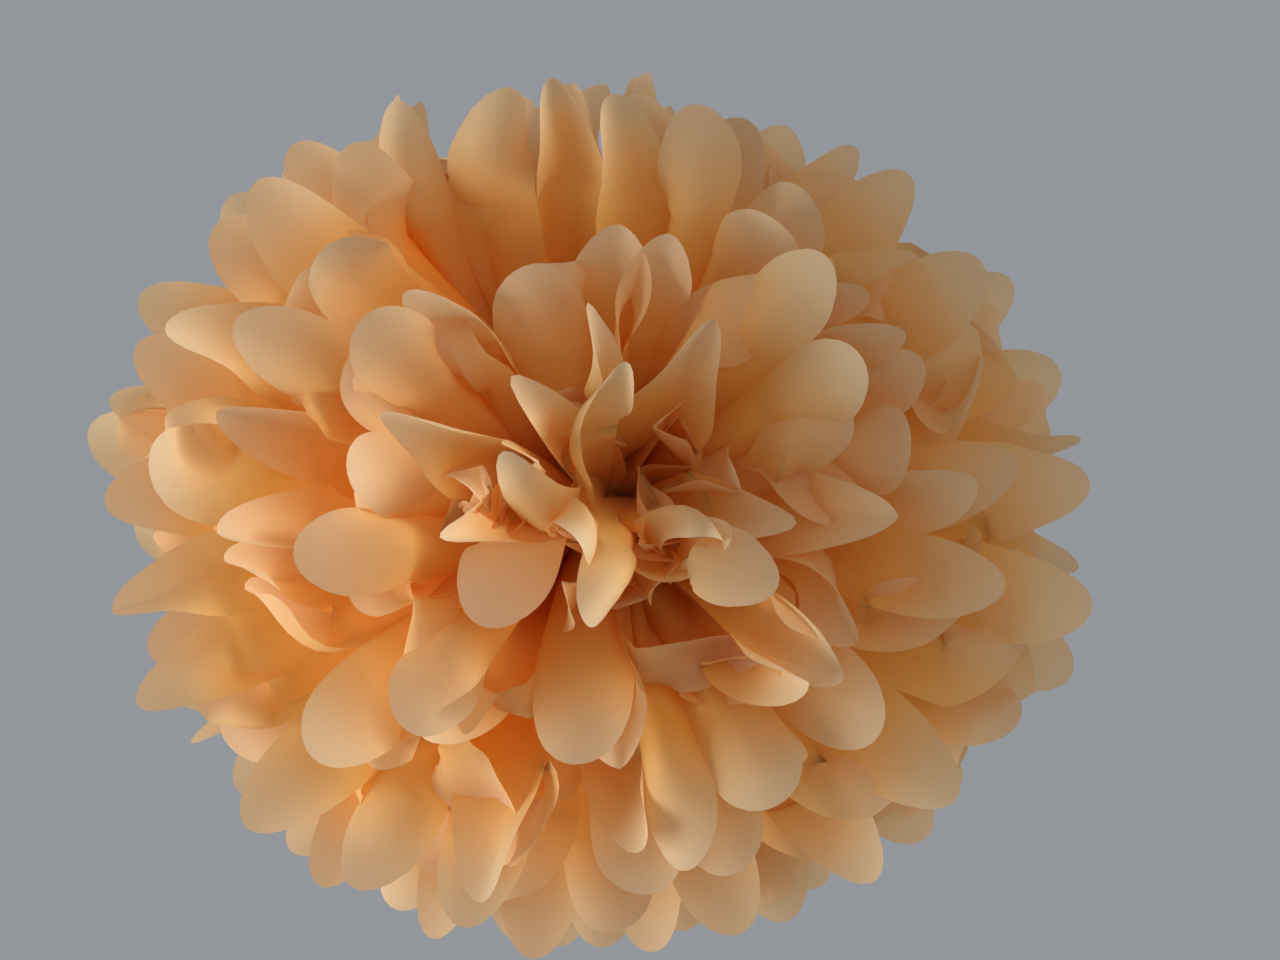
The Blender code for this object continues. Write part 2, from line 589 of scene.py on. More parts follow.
    def tongue_vector(self, heading: Vector, tip_heading: Vector) -> Vector:
        """From the notch to the tip of a petal that bends evenly from one direction to another."""
        step = self.pleating.tip_depth / self.curl_steps
        total = Vector()
        for i in range(self.curl_steps):
            total += heading.slerp(tip_heading, self.bend((i + 0.5) / self.curl_steps)) * step
        return total

    def bend(self, share: float) -> float:
        """How much of a petal's bend has happened at a share of its length."""
        return min(1.0, self.bend_pace * share)

    def aim(self, petal: Petal) -> PetalShape:
        """Aims a petal with the slack that strains its sheet least.

        Args:
            petal: the petal in the photograph.

        Returns:
            The petal's shape.
        """
        tries = [self.aim_with(petal, 1 - self.slack_step * i) for i in range(self.slack_steps + 1)]
        return min(tries, key=self.strain)

    def strain(self, shape: PetalShape) -> float:
        """How far a petal's slope is from its sheet's own there, and how much slack it takes."""
        own = self.pleating.slope(shape.bearing, self.pleating.notch, self.lean)
        return abs(shape.slope - own) + self.slack_cost * abs(1 - shape.reach / self.pleating.notch)

    def aim_with(self, petal: Petal, share: float) -> PetalShape:
        """Aims a petal with a share of the reach that its sheet has there.

        Args:
            petal: the petal in the photograph.
            share: the share of the reach.

        Returns:
            The petal's shape.
        """
        origin = self.origin
        sight = self.camera.miss(origin, petal.tip)
        bearing = math.atan2(sight.y, self.end * sight.x)
        heading = self.pleating.heading(bearing, self.lean, self.end)
        if petal.root:
            reach = self.reach(bearing, share)
            for _ in range(self.root_rounds):
                notch = origin + reach * heading
                miss = self.camera.miss(notch, petal.root)
                heading = (notch + self.correction * miss - origin).normalized()
            notch = origin + reach * heading
            fall = heading.z * (1.0 if self.number == 1 else self.root_fall)
            level = Vector((heading.x, heading.y, fall)).normalized()
            tip_heading = self.point_at(notch, heading, level, petal.tip)
            middle = self.tongue_vector(heading, tip_heading)
            if self.number > 1:
                middle += 2 * (notch - origin)
            bearing = math.atan2(middle.y, self.end * middle.x)
            return self.aimed_shape(petal, bearing, heading, reach, tip_heading)
        tip_slope = self.side.value * math.radians(petal.slope)
        for _ in range(self.tip_rounds):
            bearing = math.atan2(heading.y, self.end * heading.x)
            reach = self.reach(bearing, share)
            tip_heading = self.pleating.heading(bearing, tip_slope, self.end)
            notch = origin + reach * heading
            tip = notch + self.tongue_vector(heading, tip_heading)
            miss = self.camera.miss(tip, petal.tip)
            heading = (notch + self.correction * miss - origin).normalized()
        return self.aimed_shape(petal, bearing, heading, reach, tip_heading)

    def point_at(self, notch: Vector, heading: Vector, tip_heading: Vector, goal: Pixel) -> Vector:
        """Turns a petal's end until its tip shows at a pixel.

        Args:
            notch: where it starts.
            heading: its direction there.
            tip_heading: a first guess of its tip's direction.
            goal: the pixel.

        Returns:
            The direction of its tip.
        """
        for _ in range(self.turn_rounds):
            tip = notch + self.tongue_vector(heading, tip_heading)
            move = self.camera.miss(tip, goal) / self.pleating.tip_depth
            tip_heading = (tip_heading + self.turn_correction * move).normalized()
        return tip_heading

    def aimed_shape(
        self, petal: Petal, bearing: float, heading: Vector, reach: float, tip_heading: Vector
    ) -> PetalShape:
        """The shape of a petal whose aim is found."""
        dice = random.Random(round(petal.tip[0] * 1000 + petal.tip[1]))
        return PetalShape(
            bearing=bearing,
            heading=heading,
            reach=reach,
            tip_heading=tip_heading,
            roll=math.radians(petal.roll + self.roll_play[self.number - 1] * dice.uniform(-1, 1)),
            spread=petal.spread * dice.uniform(self.least_open, 1.0),
            cup=petal.cup,
            crease=petal.crease,
            roundness=petal.roundness * dice.uniform(0.8, 1.0),
            goal=petal.tip,
        )

    def across(self, bearing: float, heading: Vector, roll: float) -> Vector:
        """The direction across a petal, towards its higher fold.

        Args:
            bearing: the petal's bearing.
            heading: the direction along the petal.
            roll: how far it is turned on its own axis.

        Returns:
            A unit direction square to the heading.
        """
        around = Vector((-self.end * math.sin(bearing), math.cos(bearing), 0.0))
        around = (around - around.dot(heading) * heading).normalized()
        return Quaternion(heading, roll) @ around

    def notch_points(self) -> list[Vector]:
        """Where each fold ends at the notches: the petals pull on it from both sides.

        Returns:
            The points from one edge of the sheet to the other.
        """
        pleating, shapes = self.pleating, self.shapes
        half = pleating.pleat_width / 2 * self.held_open
        pulls: list[list[tuple[float, Vector]]] = [[] for _ in range(pleating.pleats + 1)]
        for k, shape in enumerate(shapes):
            heading = shape.heading
            root = pleating.root(shape.bearing, pleating.neck_length, self.end, self.level)
            middle = root + shape.reach * heading
            if shape.aimed:
                across = self.across(shape.bearing, heading, shape.roll * self.roll_at_notch)
                pulls[k].append((1.0, middle - half * across))
                pulls[k + 1].append((1.0, middle + half * across))
                continue
            out = pleating.notch
            for fold in (k, k + 1):
                step = (fold - k - 0.5) * pleating.fan / pleating.pleats
                lifted = shape.slope + pleating.pleat_angle(out, shape.slope) * (-1) ** fold
                place = root + shape.reach * pleating.heading(shape.bearing + step, lifted, self.end)
                pulls[fold].append((self.free_pull, place))
        points = []
        for pull in pulls:
            total = sum(weight for weight, _ in pull)
            points.append(sum((place * (weight / total) for weight, place in pull), Vector()))
        return self.unstretch(points)

    def unstretch(self, points: list[Vector]) -> list[Vector]:
        """Draws folds together where the paper between them would be stretched.

        Args:
            points: the folds' ends at the notches.

        Returns:
            The same points, none further from the next than the paper allows.
        """
        width = self.pleating.pleat_width
        for _ in range(self.unstretch_rounds):
            for k in range(len(points) - 1):
                gap = points[k + 1] - points[k]
                excess = gap.length - width
                if excess > 0:
                    move = gap.normalized() * excess / 2
                    points[k] = points[k] + move
                    points[k + 1] = points[k + 1] - move
        return points

    def fold(self, number: int, along: float) -> Vector:
        """Where a fold lies at a distance from the sheet's middle, out to its notch."""
        place = self.pleating.fold_point(number, along, self.end, self.lean, self.level)
        last = self.pleating.fold_point(number, self.pleating.notch, self.end, self.lean, self.level)
        share = along / self.pleating.notch
        place += (self.edges[number] - last) * smooth(share**self.late_pull)
        loose = smooth(along / self.ripple) * (1 - smooth(along / self.ripple_end))
        turn = 2 * math.pi * along / self.ripple + self.ripple_turn * number
        return place + self.ripples[number] * loose * math.sin(turn)

    def rippling(self, number: int) -> Vector:
        """The ripples beside the neck that take up a fold's slack: their height and direction."""
        path = self.edges[number] - self.origin
        slack = self.pleating.notch / path.length - 1
        level = Vector((-path.y, path.x, 0.0)).normalized()
        steepness = min(self.steepest_ripple, self.slack_ripple * math.sqrt(max(0.0, slack)))
        return path.normalized().cross(level) * steepness * self.ripple / (2 * math.pi)

    def outward(self, across: Vector, heading: Vector) -> Vector:
        """The side of the paper that faces away from the middle of the ball."""
        return across.cross(heading).normalized() * -self.side.value * self.end

    def tongue(self, number: int) -> list[PetalLine]:
        """The line that a petal follows beyond its notch.

        Args:
            number: the pleat's number.

        Returns:
            Its places from the notch to the tip.
        """
        notch = self.pleating.notch
        near = (self.fold(number, notch * 0.96) + self.fold(number + 1, notch * 0.96)) / 2
        gap = self.edges[number + 1] - self.edges[number]
        middle = (self.edges[number] + self.edges[number + 1]) / 2
        heading, across = (middle - near).normalized(), gap.normalized()
        shape = self.shapes[number]
        outward = self.outward(across, heading)
        root = PetalLine(
            middle, heading, across, outward, gap.length / self.pleating.pleat_width, shape.cup, shape.crease
        )
        hosts = [k for k in self.tongues if self.shapes[k].aimed and abs(k - number) <= self.furthest_host]
        if hosts and not shape.aimed and self.number > 1:
            length = self.pleating.tip_depth + self.set_back
            host = min(hosts, key=lambda k: abs((self.tongues[k][-1].middle - middle).length - length))
            return self.bowed(root, self.tongues[host][-1], number - host)
        tip = self.tip(shape, root)
        step = self.pleating.tip_depth / self.curl_steps
        line = []
        for i in range(self.curl_steps + 1):
            share = i / self.curl_steps
            mixed = root.between(tip, smooth(share * self.settle_pace))
            here = heading.slerp(tip.along, self.bend(share))
            line.append(self.laid(middle, here, mixed))
            middle = middle + here * step
        return line

    def laid(self, middle: Vector, along: Vector, like: PetalLine) -> PetalLine:
        """A place of a petal's line with its directions made square to each other."""
        wide = (like.across - like.across.dot(along) * along).normalized()
        return PetalLine(middle, along, wide, self.outward(wide, along), like.spread, like.cup, like.crease)

    def tip(self, shape: PetalShape, root: PetalLine) -> PetalLine:
        """How a petal lies at its tip, whose place is left open.

        Args:
            shape: the petal.
            root: how it lies at the notch.

        Returns:
            The directions and the cup at the tip.
        """
        dice = self.dice
        if self.number == 1 and not shape.aimed:
            along = (self.camera.position - root.middle).normalized()
            across = Quaternion(along, shape.roll) @ (root.along.rotation_difference(along) @ root.across)
            spread = dice.uniform(*self.closed_spread)
            return PetalLine(root.middle, along, across, root.outward, spread, shape.cup, self.closed_crease)
        along = shape.tip_heading
        if shape.goal:
            along = self.point_at(root.middle, root.along, along, shape.goal)
        across = self.across(math.atan2(along.y, self.end * along.x), along, shape.roll)
        if not shape.aimed and across.dot(root.across) < 0:
            across = -across
        return PetalLine(root.middle, along, across, root.outward, shape.spread, shape.cup, shape.crease)

    def curve(
        self, start: Vector, away: Vector, goal: Vector, arriving: Vector, share: float
    ) -> tuple[Vector, Vector]:
        """A place on a smooth curve between two places, and its direction there.

        Args:
            start: where the curve starts.
            away: its direction there.
            goal: where it ends.
            arriving: its direction there.
            share: how far along it the place is.

        Returns:
            The place and the unit direction.
        """
        pull = (goal - start).length * self.curve_pull
        first, last = start + away * pull / 3, goal - arriving * pull / 3
        left, middle, right = start.lerp(first, share), first.lerp(last, share), last.lerp(goal, share)
        left, right = left.lerp(middle, share), middle.lerp(right, share)
        return left.lerp(right, share), (right - left).normalized()

    def bowed(self, root: PetalLine, front: PetalLine, apart: int) -> list[PetalLine]:
        """The line of a petal whose end is tucked behind an aimed one.

        Args:
            root: how it lies at the notch.
            front: how the aimed petal lies at its tip.
            apart: how many pleats lie between them, less than nothing where the aimed one comes later.

        Returns:
            Its places from the notch to the tip.
        """
        dice = self.dice
        goal = front.middle - front.along * self.set_back * dice.uniform(0.5, 1.5)
        goal -= front.outward * self.behind * abs(apart)
        goal += front.across * self.beside * dice.uniform(0.2, 1.4) * apart
        length, chord = self.pleating.tip_depth, goal - root.middle
        if chord.length < length * self.shortest:
            chord += root.along * (length * self.shortest - chord.length)
        if chord.length > length * self.tautest:
            chord *= length * self.tautest / chord.length
        turned = 1 if front.across.dot(root.across) >= 0 else -1
        spread = min(0.97, max(0.6, front.spread * dice.uniform(0.85, 1.0)))
        tip = PetalLine(
            goal, front.along, front.across * turned, root.outward, spread, front.cup * turned, front.crease
        )
        line = []
        for i in range(self.curl_steps + 1):
            share = i / self.curl_steps
            middle, along = self.curve(root.middle, root.along, root.middle + chord, front.along, share)
            line.append(self.laid(middle, along, root.between(tip, smooth(share * self.settle_pace))))
        return line


@dataclass
class TissueSheet:
    """One sheet of tissue, from the end of one petal to the end of the opposite one."""

    number: int
    side: Side
    petals: list[Petal]
    camera: PhotoCamera = CAMERA
    columns: int = 8
    panel_rows: int = 22
    petal_rows: int = 10
    seed: int = 7
    pleating: Pleating = PLEATING
    flattened: tuple[float, ...] = (0.2, 0.22, 0.3, 0.45, 0.5)
    flat_from: float = 0.090
    deepest_cup: float = 0.435
    cups_from: float = 0.004
    cups_over: float = 0.035
    row_spacing: float = 1.3
    crumple: float = 0.0007
    wave: float = 0.0016
    wave_pitch: tuple[float, float] = (26.0, 18.0)
    own_wave: float = 3.7

    @property
    def name(self) -> str:
        """The sheet's name, which its CAD node has too."""
        return f"{self.side.name.lower()}_sheet_{self.number}"

    def build(self, finish: bpy.types.Material) -> bpy.types.Object:
        """Makes the sheet in the place of its CAD node.

        Args:
            finish: the tissue's material.

        Returns:
            The sheet's object.
        """
        self.halves = {end: self.open_half(end) for end in (-1, 1)}
        self.roundness = {
            end: [shape.roundness for shape in half.shapes] for end, half in self.halves.items()
        }
        mesh = self.cut_flat()
        mesh.verts.ensure_lookup_table()
        spots = self.spots(mesh)
        layer = mesh.loops.layers.uv.new("UVMap")
        for face in mesh.faces:
            face.smooth = True
            for loop in face.loops:
                flat = spots[loop.vert.index][2]
                loop[layer].uv = (flat[0] / self.pleating.width + 0.5, flat[1] / self.pleating.length + 0.5)
        for vertex in mesh.verts:
            vertex.co = self.place(*spots[vertex.index])
        bmesh.ops.recalc_face_normals(mesh, faces=mesh.faces)
        sheet = make_piece(self.name + "_tissue", mesh, finish)
        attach(sheet, "root")
        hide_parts(self.name)
        area = sum(face.area for face in sheet.data.polygons) / self.pleating.cut_area
        LOG.info("%s: %d aimed petals, %.2f of its flat area", sheet.name, len(self.petals), area)
        return sheet

    def open_half(self, end: int) -> HalfSheet:
        """Settles one end of the sheet with the photographed petals that are on that end."""
        origin = self.camera.miss(self.pleating.tie, (0.0, 0.0))
        zero = -origin.x * self.camera.focal / self.camera.distance
        mine = [p for p in self.petals if (p.tip[0] - zero) * end > 0]
        dice = random.Random(self.seed * 100 + self.number * 10 + self.side.value * 3 + end)
        return HalfSheet(self.number, self.side, end, mine, dice, self.camera)

    def row_places(self) -> list[float]:
        """The distances of the panel rows from the sheet's middle."""
        neck = self.pleating.neck_length / 2
        rows = self.panel_rows - 1
        shares = [i / rows for i in range(rows + 1)]
        return [0.0] + [neck + (self.pleating.notch - neck) * share**self.row_spacing for share in shares]

    def cut_flat(self) -> bmesh.types.BMesh:
        """The sheet as a flat grid, slit along its folds where the petals are.

        Returns:
            The mesh, with x in columns and y in rows from the middle.
        """
        wide = self.pleating.pleats * self.columns
        tall = self.panel_rows + self.petal_rows
        mesh = bmesh.new()
        bmesh.ops.create_grid(mesh, x_segments=wide, y_segments=2 * tall, size=1.0)
        bmesh.ops.scale(mesh, verts=mesh.verts, vec=(wide / 2, tall, 1.0))
        bmesh.ops.translate(mesh, verts=mesh.verts, vec=(wide / 2, 0.0, 0.0))
        slits, creases = [], []
        for edge in mesh.edges:
            first, second = (v.co for v in edge.verts)
            column = round(first.x)
            if round(second.x) != column or column % self.columns or column in (0, wide):
                continue
            creases.append(edge)
            if abs(first.y + second.y) / 2 > self.panel_rows:
                slits.append(edge)
        for edge in creases:
            edge.smooth = False
        bmesh.ops.split_edges(mesh, edges=slits)
        return mesh

    def spots(
        self, mesh: bmesh.types.BMesh
    ) -> list[tuple[int, int, tuple[float, float], tuple[float, float]]]:
        """Where each vertex is on the flat sheet.

        Args:
            mesh: the flat grid.

        Returns:
            For each vertex its end, its pleat, its flat place in metres, and its place in the pleat: from -1
            to 1 across it, and its row.
        """
        spots = []
        pleats = self.pleating.pleats
        for vertex in mesh.verts:
            row = abs(vertex.co.y)
            end = 1 if vertex.co.y >= 0 else -1
            middle = sum(face.calc_center_median().x for face in vertex.link_faces) / len(vertex.link_faces)
            pleat = min(pleats - 1, int(middle / self.columns + SAME_PLACE))
            across = 2 * (vertex.co.x / self.columns - pleat) - 1
            spots.append((end, pleat, self.flat_place(end, pleat, across, row), (across, row)))
        return spots

    def flat_place(self, end: int, pleat: int, across: float, row: float) -> tuple[float, float]:
        """The place of a grid point on the cut sheet, in metres from its middle."""
        pleating = self.pleating
        middle = (pleat + 0.5 - pleating.pleats / 2) * pleating.pleat_width
        places = self.row_places()
        if row <= self.panel_rows:
            return middle + across * pleating.pleat_width / 2, end * places[round(row)]
        wide, deep = self.rounded(across, row, self.roundness[end][pleat])
        return middle + wide * pleating.pleat_width / 2, end * (pleating.notch + pleating.tip_depth * deep)

    def rounded(self, across: float, row: float, roundness: float) -> tuple[float, float]:
        """Where a grid point of a petal goes when its square end is cut round.

        Args:
            across: the point's place across the petal, from -1 to 1.
            row: its row from the sheet's middle.
            roundness: how blunt the cut is.

        Returns:
            Its place across and along the petal, as shares of half its width and of its depth.
        """
        share = (row - self.panel_rows) / self.petal_rows
        wide = across * math.sqrt(1 - share * share / 2)
        deep = share * math.sqrt(1 - across * across / 2)
        return wide, deep ** (2 / roundness)

    def place(self, end: int, pleat: int, flat: tuple[float, float], spot: tuple[float, float]) -> Vector:
        """Where a point of the flat sheet lies in the ball.

        Args:
            end: the half of the sheet.
            pleat: the pleat's number.
            flat: its place on the cut sheet.
            spot: its place across the pleat and its row.

        Returns:
            The point, in the row frame.
        """
        half = self.halves[end]
        across, row = spot
        along = abs(flat[1])
        if row <= self.panel_rows:
            return self.panel_point(half, pleat, across, along, flat)
        wide, deep = self.rounded(across, row, self.roundness[end][pleat])
        return self.petal_point(half, pleat, wide, deep, flat)

    def cup_depth(self, spread: float) -> float:
        """How deep the paper of a pleat is cupped when its folds are closer than its width."""
        return self.deepest_cup * self.pleating.pleat_width * math.sqrt(max(0.0, 1 - spread * spread))

    def section(self, across: float, crease: float) -> float:
        """The depth of a cup across a petal, as a share of its deepest."""
        return (1 - across * across) * (1 - crease) + (1 - abs(across)) * crease

    def panel_point(
        self, half: HalfSheet, pleat: int, across: float, along: float, flat: tuple[float, float]
    ) -> Vector:
        """A point between two folds, from the neck to the notches."""
        left, right = half.fold(pleat, along), half.fold(pleat + 1, along)
        chord = right - left
        point = left + chord * (across + 1) / 2
        opened = smooth((along - self.cups_from) / self.cups_over)
        if opened <= 0:
            return point
        shape = half.shapes[pleat]
        ahead = (half.fold(pleat, along * 0.98) + half.fold(pleat + 1, along * 0.98)) / 2
        heading = ((left + right) / 2 - ahead).normalized()
        outward = half.outward(chord, heading)
        depth = self.cup_depth(chord.length / self.pleating.pleat_width) * opened
        depth *= 1 - self.flattened[self.number - 1] * smooth((along - self.flat_from) / self.flat_from)
        point -= shape.cup * depth * self.section(across, shape.crease) * outward
        return point + outward * self.uneven(flat) * self.crumple * opened * (1 - across * across)

    def petal_point(
        self, half: HalfSheet, pleat: int, wide: float, deep: float, flat: tuple[float, float]
    ) -> Vector:
        """A point of a petal beyond its notches."""
        line = half.tongues[pleat]
        step = deep * half.curl_steps
        first = min(int(step), half.curl_steps - 1)
        here = line[first].between(line[first + 1], step - first)
        point = here.middle + here.across * wide * self.pleating.pleat_width / 2 * here.spread
        point -= here.outward * here.cup * self.cup_depth(here.spread) * self.section(wide, here.crease)
        loose = deep * self.wave + (1 - wide * wide) * self.crumple * (1 - deep)
        return point + here.outward * self.uneven(flat) * loose

    def uneven(self, flat: tuple[float, float]) -> float:
        """The sheet's own waviness at a place on it, from -1 to 1."""
        own = self.number * self.own_wave + self.side.value
        return noise.noise(Vector((flat[0] * self.wave_pitch[0], flat[1] * self.wave_pitch[1], own)))


@dataclass(frozen=True)
class TissueFinish:
    """Thin peach tissue: matt, cloudy and bright against the light, with painted shade towards the neck and
    painted light on the petals' tips.
    """

    colour: Colour = (0.985, 0.625, 0.165)
    denser: Colour = (0.985, 0.575, 0.12)
    # Painted shade: the colour laid on the paper deep among the pleats near the neck.
    deep: Colour = (0.98, 0.45, 0.04)
    # Painted light: the paler colour laid on the petals' tips, where the light falls on them.
    painted_light_tips: Colour = (0.965, 0.73, 0.44)
    see_through: float = 0.50
    roughness: float = 0.85
    gloss: float = 0.2

    def build(self) -> bpy.types.Material:
        """Makes the material.

        Returns:
            The tissue's material.
        """
        material = bpy.data.materials.new("peach_tissue")
        material.use_nodes = True
        tree = material.node_tree
        tree.nodes.clear()
        place = add_node(tree, "UVMap", uv_map="UVMap").outputs["UV"]
        scale = (PLEATING.width, PLEATING.length, 1.0)
        metres = add_node(tree, "Mapping", {"Vector": place, "Scale": scale}).outputs["Vector"]
        clouds = grain(tree, metres, 60.0, 2.0)
        fibres = grain(tree, metres, 900.0, 1.0)
        crinkle = grain(tree, metres, 140.0, 2.0)
        blend = add_node(tree, "Math", {0: fibres, 1: 0.35, 2: clouds}, operation="MULTIPLY_ADD")
        ramp = add_node(tree, "ValToRGB", {"Fac": blend.outputs["Value"]})
        low, high = ramp.color_ramp.elements
        low.position, low.color = 0.35, (*self.denser, 1.0)
        high.position, high.color = 0.95, (*self.colour, 1.0)
        # The paper's colour gets painted shade near the neck and painted light on the tips.
        tint = self.fade(tree, place, ramp.outputs["Color"])
        bump = add_node(tree, "Bump", {"Strength": 0.25, "Distance": 0.0006, "Height": crinkle})
        normal = bump.outputs["Normal"]
        surface = {"Base Color": tint, "Normal": normal, "Roughness": self.roughness}
        surface["Specular IOR Level"] = self.gloss
        front = add_node(tree, "BsdfPrincipled", surface).outputs["BSDF"]
        through = add_node(tree, "BsdfTranslucent", {"Color": tint, "Normal": normal}).outputs["BSDF"]
        mix = add_node(tree, "MixShader", {"Fac": self.see_through, 1: front, 2: through})
        add_node(tree, "OutputMaterial", {"Surface": mix.outputs["Shader"]})
        return material

    def fade(
        self, tree: bpy.types.NodeTree, place: bpy.types.NodeSocket, tint: bpy.types.NodeSocket
    ) -> bpy.types.NodeSocket:
        """Paints shade and light into the paper's colour: painted shade deepens it towards the neck, and
        painted light makes it paler towards its two cut ends.

        Args:
            tree: the material's nodes.
            place: the place on the flat sheet.
            tint: the paper's colour.

        Returns:
            The colour with its painted shade and painted light.
        """
        parts = add_node(tree, "SeparateXYZ", {"Vector": place})
        away = add_node(tree, "Math", {0: parts.outputs["Y"], 1: 0.5}, operation="SUBTRACT")
        far = add_node(tree, "Math", {0: away.outputs["Value"]}, operation="ABSOLUTE").outputs["Value"]
        # Painted light towards the cut ends first, then painted shade towards the neck.
        for low, high, near, colour in ((0.36, 0.50, 0.0, self.painted_light_tips), (0.12, 0.36, 1.0, self.deep)):
            span = {"Value": far, "From Min": low, "From Max": high, "To Min": near, "To Max": 1.0 - near}
            share = add_node(tree, "MapRange", span, interpolation_type="SMOOTHSTEP").outputs["Result"]
            mixed = add_node(tree, "MixRGB", {"Fac": share, "Color1": tint, "Color2": (*colour, 1.0)})
            tint = mixed.outputs["Color"]
        return tint


@dataclass(frozen=True)
class WireFinish:
    """Plain florist's wire, drawn and a little dull."""

    colour: Colour = (0.55, 0.55, 0.53)
    worn: Colour = (0.40, 0.40, 0.39)
    roughness: float = 0.38

    def build(self) -> bpy.types.Material:
        """Makes the material.

        Returns:
            The wire's material.
        """
        material = bpy.data.materials.new("tie_wire")
        material.use_nodes = True
        tree = material.node_tree
        shader = tree.nodes["Principled BSDF"]
        shader.inputs["Metallic"].default_value = 1.0
        place = add_node(tree, "TexCoord").outputs["Object"]
        streaks = grain(tree, place, 1800.0, 4.0)
        ramp = add_node(tree, "ValToRGB", {"Fac": streaks})
        ramp.color_ramp.elements[0].color = (*self.worn, 1.0)
        ramp.color_ramp.elements[1].color = (*self.colour, 1.0)
        span = {"Value": streaks, "To Min": self.roughness - 0.08, "To Max": self.roughness + 0.12}
        rough = add_node(tree, "MapRange", span)
        tree.links.new(ramp.outputs["Color"], shader.inputs["Base Color"])
        tree.links.new(rough.outputs["Result"], shader.inputs["Roughness"])
        return material


@dataclass(frozen=True)
class Studio:
    """A plain pale floor well below the camera, a pale surround and soft lights."""

    floor_height: float = -2.2
    floor_size: float = 8.0
    floor_colour: Colour = (0.72, 0.72, 0.70)
    surround: Colour = (0.60, 0.63, 0.67)
    surround_strength: float = 0.49

    def build(self) -> None:
        """Makes the floor, the surround and the lights."""
        mesh = bmesh.new()
        bmesh.ops.create_grid(mesh, x_segments=1, y_segments=1, size=self.floor_size / 2)
        bmesh.ops.translate(mesh, verts=mesh.verts, vec=(0.0, 0.0, self.floor_height))
        matt = bpy.data.materials.new("floor")
        matt.use_nodes = True
        shader = matt.node_tree.nodes["Principled BSDF"]
        shader.inputs["Base Color"].default_value = (*self.floor_colour, 1.0)
        shader.inputs["Roughness"].default_value = 0.9
        make_piece("floor", mesh, matt)
        world = bpy.data.worlds.new("surround")
        world.use_nodes = True
        background = world.node_tree.nodes["Background"]
        background.inputs["Color"].default_value = (*self.surround, 1.0)
        background.inputs["Strength"].default_value = self.surround_strength
        bpy.context.scene.world = world
        self.light("window", (-1.8, 0.65, -0.35), 1.3, 42.0, (0.93, 0.96, 1.0))
        self.light("fill", (0.9, -0.5, -1.6), 1.6, 5.0, (1.0, 0.96, 0.92))

    @staticmethod
    def light(name: str, place: Place, size: float, power: float, colour: Colour) -> None:
        """Adds a soft square light that faces the ball.

        Args:
            name: the light's name.
            place: where it stands.
            size: the length of its side.
            power: its power in watts.
            colour: its colour.
        """
        data = bpy.data.lights.new(name, "AREA")
        data.size = size
        data.energy = power
        data.color = colour
        lamp = bpy.data.objects.new(name, data)
        aim = PLEATING.tie - Vector(place)
        lamp.matrix_world = Matrix.Translation(place) @ aim.to_track_quat("-Z", "Y").to_matrix().to_4x4()
        bpy.context.scene.collection.objects.link(lamp)


def alike(*rows: tuple[float, ...], **shared: float) -> list[Petal]:
    """Petals that have most in common.

    Args:
        *rows: for each petal the pixel of its tip, its slope and, if it is turned, its roll.
        **shared: what else they have, all alike.

    Returns:
        The petals.
    """
    return [Petal(row[:2], *row[2:], **shared) for row in rows]


# The petals that the photograph shows, sheet by sheet
POLE_PETALS = [
    Petal((617, 287), root=(594, 404), roll=50, spread=0.6, roundness=1.0),
    Petal((622, 406), root=(632, 478), roll=35, spread=0.5, roundness=1.6),
    Petal((715, 349), root=(660, 442), roll=30, crease=0.4, spread=0.55),
    Petal((783, 512), root=(690, 520), roll=-15, roundness=1.0, spread=0.7),
    Petal((704, 536), root=(636, 492), spread=0.75, roundness=1.8),
    Petal((800, 596), slope=16, cup=-1, spread=0.9),
    Petal((702, 577), root=(628, 546), roll=-20, spread=0.6, cup=-1),
    Petal((534, 381), root=(594, 462), roll=20, spread=0.7, roundness=0.9),
    Petal((505, 425), root=(566, 502), roll=-15, spread=0.72, roundness=0.9, cup=-1),
    Petal((376, 442), slope=22, roll=-62, spread=0.75),
    Petal((476, 511), root=(540, 500), roll=25, roundness=1.0, spread=0.5),
    Petal((478, 636), slope=20, cup=-1, spread=0.97, roundness=3.0),
    Petal((548, 564), root=(612, 478), roll=-12, spread=0.62, cup=-1, roundness=2.2),
    Petal((554, 633), root=(588, 556), roll=-25, cup=-1, spread=0.55),
]
SECOND_PETALS = [
    Petal((880, 513), slope=22, crease=0.9, spread=0.72),
    Petal((825, 692), slope=24, roll=40, spread=0.8, crease=0.4),
    Petal((780, 703), slope=24, roll=60, crease=0.5, spread=0.7),
    Petal((405, 310), slope=22, roll=-58, roundness=1.6),
    Petal((289, 556), slope=16, cup=-1, roundness=3.2),
    Petal((450, 742), slope=22, roll=-60, spread=0.7),
    *alike((836, 262, 20, -12), (365, 308, 20), (415, 741, 18), (587, 775, 20), cup=-1, roundness=3.0),
    *alike((872, 354, 18), (530, 253, 26, 8), (337, 479, 22), cup=-1),
]
